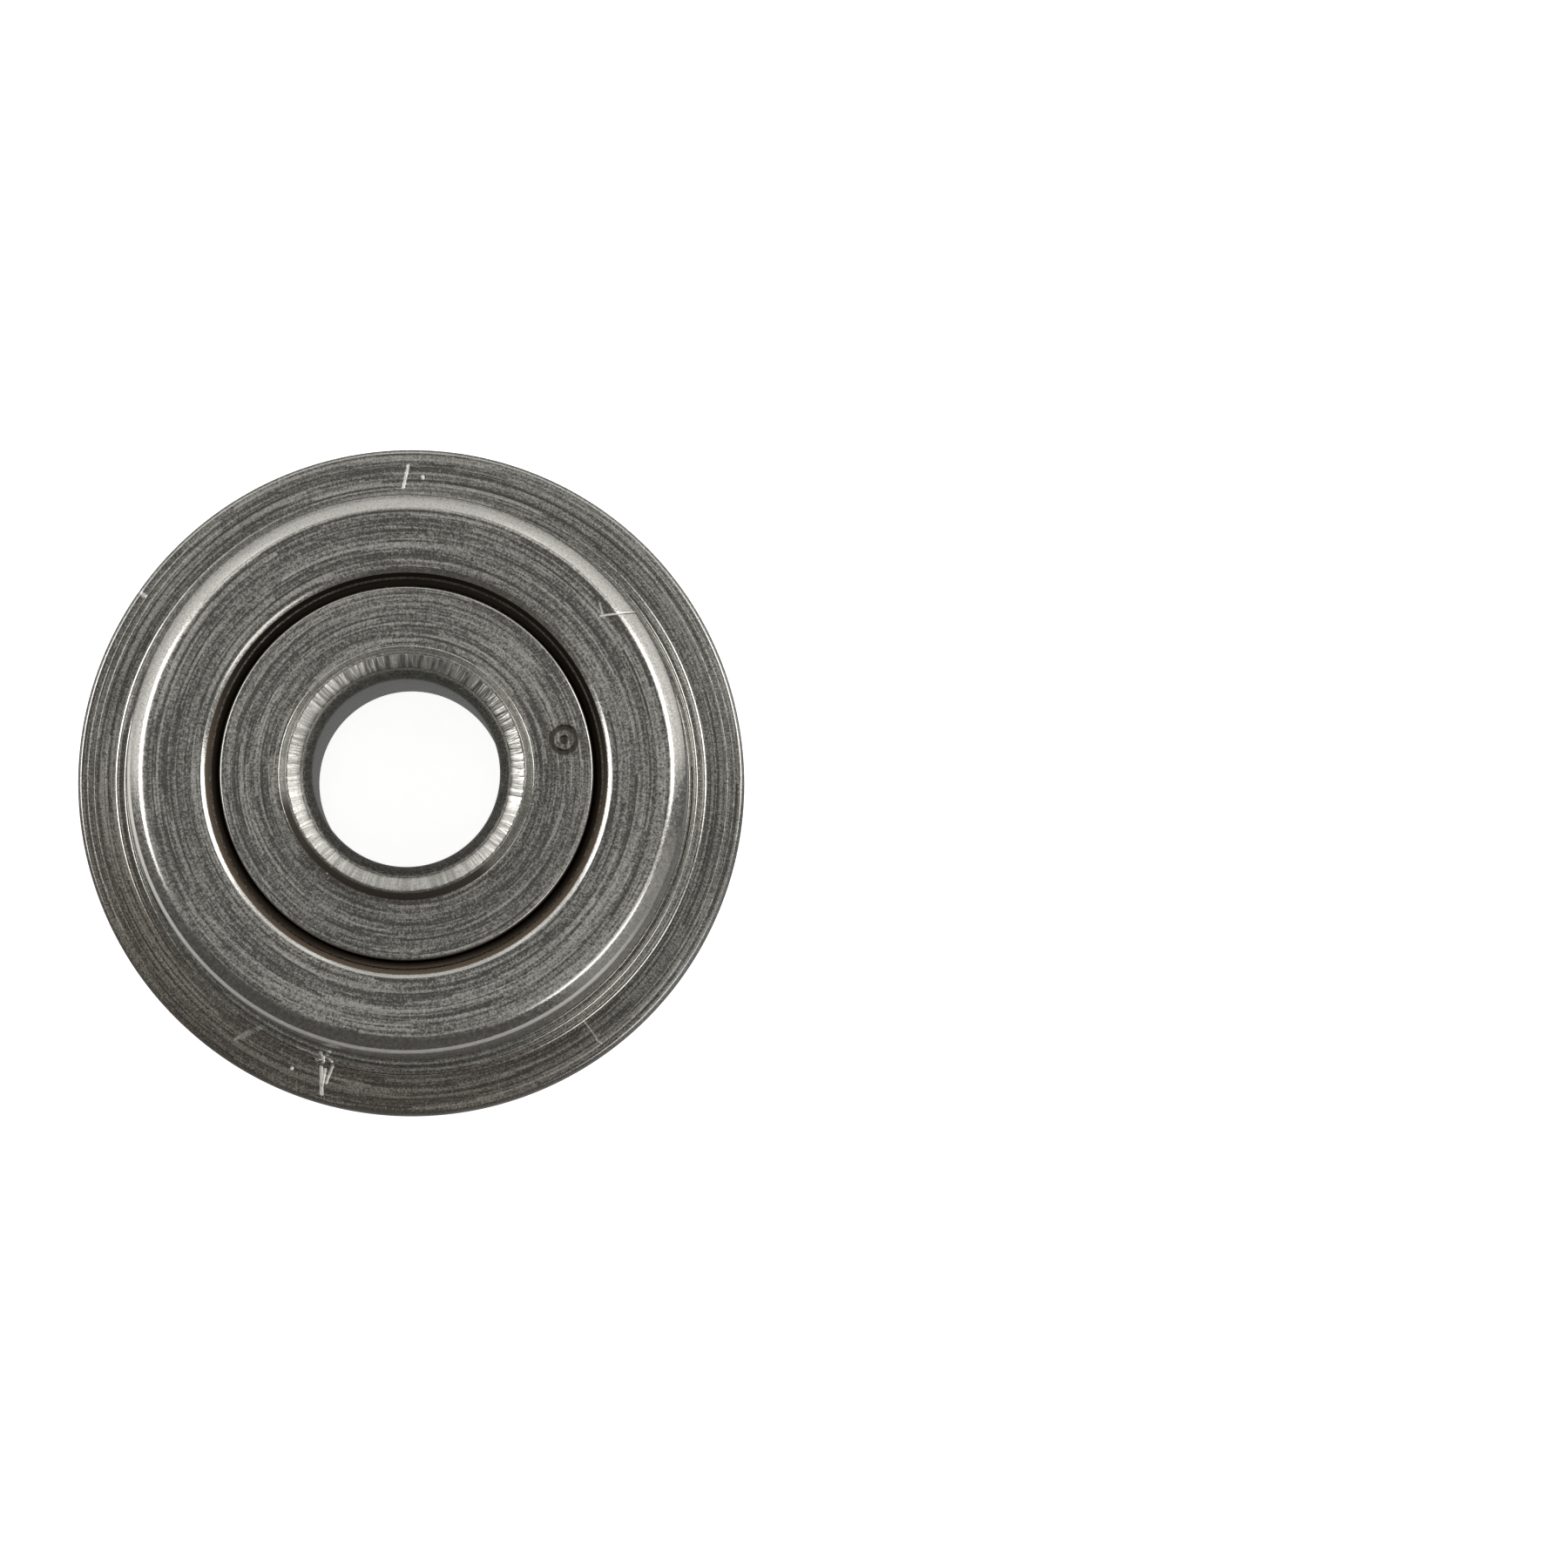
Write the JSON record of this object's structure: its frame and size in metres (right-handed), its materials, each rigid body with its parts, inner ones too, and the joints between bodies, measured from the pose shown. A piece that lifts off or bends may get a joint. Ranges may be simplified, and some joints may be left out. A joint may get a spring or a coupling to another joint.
{
  "type": "angular contact bearing",
  "caption": "Miniature single-row angular contact ball bearing with a flanged outer ring, an inner ring with a raised collar round its bore, a crown cage and steel balls.",
  "frame": {"origin": "centre of the flange's back face, on the bearing's axis", "axes": "+Z along the bearing's axis, from the flange towards the boss and the collar; +X and +Y are radial, and ball_01 lies on +X"},
  "size_m": [0.0108, 0.0108, 0.004],
  "materials": {
    "ring_steel": "fine turned bearing steel with a light oil film",
    "ball_steel": "lapped bearing steel",
    "cage_resin": "turned brown phenolic resin, oiled"
  },
  "bodies": {
    "outer_ring": {"outer_ring": "ring_steel"},
    "inner_ring": {"inner_ring": "ring_steel"},
    "cage": {"cage": "cage_resin"},
    "ball_01": {"ball_01": "ball_steel"},
    "ball_02": {"ball_02": "ball_steel"},
    "ball_03": {"ball_03": "ball_steel"},
    "ball_04": {"ball_04": "ball_steel"},
    "ball_05": {"ball_05": "ball_steel"},
    "ball_06": {"ball_06": "ball_steel"},
    "ball_07": {"ball_07": "ball_steel"},
    "ball_08": {"ball_08": "ball_steel"},
    "ball_09": {"ball_09": "ball_steel"},
    "ball_10": {"ball_10": "ball_steel"},
    "ball_11": {"ball_11": "ball_steel"},
    "ball_12": {"ball_12": "ball_steel"},
    "ball_13": {"ball_13": "ball_steel"},
    "ball_14": {"ball_14": "ball_steel"},
    "ball_15": {"ball_15": "ball_steel"},
    "ball_16": {"ball_16": "ball_steel"}
  },
  "joints": [
    {"name": "inner_ring_spin", "type": "hinge", "parent": "outer_ring", "child": "inner_ring", "pos_m": [0, 0, 0.00185], "axis": [0, 0, 1], "continuous": true},
    {"name": "cage_spin", "type": "hinge", "parent": "outer_ring", "child": "cage", "pos_m": [0, 0, 0.00185], "axis": [0, 0, 1], "continuous": true},
    {"name": "ball_01_spin", "type": "hinge", "parent": "cage", "child": "ball_01", "pos_m": [0.0031, 0, 0.00185], "axis": [-0.4226, 0, 0.9063], "continuous": true},
    {"name": "ball_02_spin", "type": "hinge", "parent": "cage", "child": "ball_02", "pos_m": [0.00286, 0.00119, 0.00185], "axis": [-0.3904, -0.1617, 0.9063], "continuous": true},
    {"name": "ball_03_spin", "type": "hinge", "parent": "cage", "child": "ball_03", "pos_m": [0.00219, 0.00219, 0.00185], "axis": [-0.2988, -0.2988, 0.9063], "continuous": true},
    {"name": "ball_04_spin", "type": "hinge", "parent": "cage", "child": "ball_04", "pos_m": [0.00119, 0.00286, 0.00185], "axis": [-0.1617, -0.3904, 0.9063], "continuous": true},
    {"name": "ball_05_spin", "type": "hinge", "parent": "cage", "child": "ball_05", "pos_m": [0, 0.0031, 0.00185], "axis": [0, -0.4226, 0.9063], "continuous": true},
    {"name": "ball_06_spin", "type": "hinge", "parent": "cage", "child": "ball_06", "pos_m": [-0.00119, 0.00286, 0.00185], "axis": [0.1617, -0.3904, 0.9063], "continuous": true},
    {"name": "ball_07_spin", "type": "hinge", "parent": "cage", "child": "ball_07", "pos_m": [-0.00219, 0.00219, 0.00185], "axis": [0.2988, -0.2988, 0.9063], "continuous": true},
    {"name": "ball_08_spin", "type": "hinge", "parent": "cage", "child": "ball_08", "pos_m": [-0.00286, 0.00119, 0.00185], "axis": [0.3904, -0.1617, 0.9063], "continuous": true},
    {"name": "ball_09_spin", "type": "hinge", "parent": "cage", "child": "ball_09", "pos_m": [-0.0031, 0, 0.00185], "axis": [0.4226, 0, 0.9063], "continuous": true},
    {"name": "ball_10_spin", "type": "hinge", "parent": "cage", "child": "ball_10", "pos_m": [-0.00286, -0.00119, 0.00185], "axis": [0.3904, 0.1617, 0.9063], "continuous": true},
    {"name": "ball_11_spin", "type": "hinge", "parent": "cage", "child": "ball_11", "pos_m": [-0.00219, -0.00219, 0.00185], "axis": [0.2988, 0.2988, 0.9063], "continuous": true},
    {"name": "ball_12_spin", "type": "hinge", "parent": "cage", "child": "ball_12", "pos_m": [-0.00119, -0.00286, 0.00185], "axis": [0.1617, 0.3904, 0.9063], "continuous": true},
    {"name": "ball_13_spin", "type": "hinge", "parent": "cage", "child": "ball_13", "pos_m": [0, -0.0031, 0.00185], "axis": [0, 0.4226, 0.9063], "continuous": true},
    {"name": "ball_14_spin", "type": "hinge", "parent": "cage", "child": "ball_14", "pos_m": [0.00119, -0.00286, 0.00185], "axis": [-0.1617, 0.3904, 0.9063], "continuous": true},
    {"name": "ball_15_spin", "type": "hinge", "parent": "cage", "child": "ball_15", "pos_m": [0.00219, -0.00219, 0.00185], "axis": [-0.2988, 0.2988, 0.9063], "continuous": true},
    {"name": "ball_16_spin", "type": "hinge", "parent": "cage", "child": "ball_16", "pos_m": [0.00286, -0.00119, 0.00185], "axis": [-0.3904, 0.1617, 0.9063], "continuous": true}
  ],
  "couplings": [
    {"joint": "cage_spin", "follows": "inner_ring_spin", "ratio": 0.42691},
    {"joint": "ball_01_spin", "follows": "inner_ring_spin", "ratio": -3.0338},
    {"joint": "ball_02_spin", "follows": "inner_ring_spin", "ratio": -3.0338},
    {"joint": "ball_03_spin", "follows": "inner_ring_spin", "ratio": -3.0338},
    {"joint": "ball_04_spin", "follows": "inner_ring_spin", "ratio": -3.0338},
    {"joint": "ball_05_spin", "follows": "inner_ring_spin", "ratio": -3.0338},
    {"joint": "ball_06_spin", "follows": "inner_ring_spin", "ratio": -3.0338},
    {"joint": "ball_07_spin", "follows": "inner_ring_spin", "ratio": -3.0338},
    {"joint": "ball_08_spin", "follows": "inner_ring_spin", "ratio": -3.0338},
    {"joint": "ball_09_spin", "follows": "inner_ring_spin", "ratio": -3.0338},
    {"joint": "ball_10_spin", "follows": "inner_ring_spin", "ratio": -3.0338},
    {"joint": "ball_11_spin", "follows": "inner_ring_spin", "ratio": -3.0338},
    {"joint": "ball_12_spin", "follows": "inner_ring_spin", "ratio": -3.0338},
    {"joint": "ball_13_spin", "follows": "inner_ring_spin", "ratio": -3.0338},
    {"joint": "ball_14_spin", "follows": "inner_ring_spin", "ratio": -3.0338},
    {"joint": "ball_15_spin", "follows": "inner_ring_spin", "ratio": -3.0338},
    {"joint": "ball_16_spin", "follows": "inner_ring_spin", "ratio": -3.0338}
  ]
}
